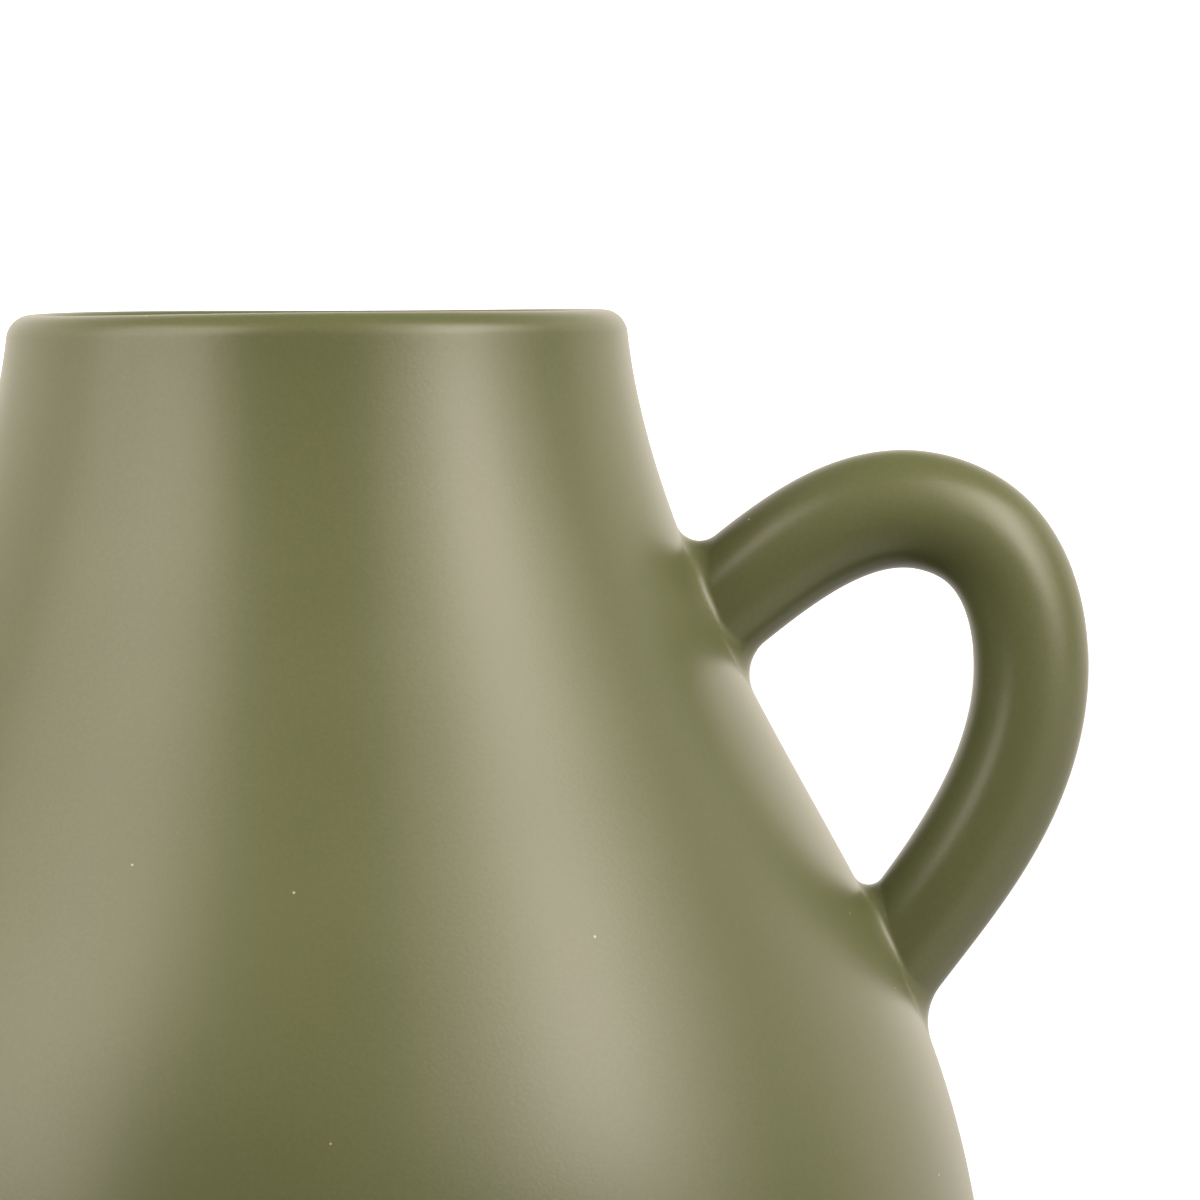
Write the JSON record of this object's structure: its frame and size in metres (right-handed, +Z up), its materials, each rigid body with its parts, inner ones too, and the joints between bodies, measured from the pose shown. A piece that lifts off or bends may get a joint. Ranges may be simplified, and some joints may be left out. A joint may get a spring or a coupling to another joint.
{
  "type": "one-handled vase",
  "caption": "Stoneware vase of pear shape with a wide round mouth, a foot ring and an ear-shaped handle of round section luted to the shoulder with slip.",
  "frame": {"origin": "on the vessel's axis, in the plane that the foot ring stands on", "axes": "+Z up along the vessel's axis, +X out through the middle of the handle, +Y level and square to both"},
  "size_m": [0.2408, 0.2242, 0.25],
  "materials": {
    "olive_glaze": "satin",
    "bare_clay": "matte"
  },
  "bodies": {
    "root": {"vessel_body": "olive_glaze", "handle": "olive_glaze", "upper_slip_joint": "olive_glaze", "lower_slip_joint": "olive_glaze"}
  },
  "joints": []
}
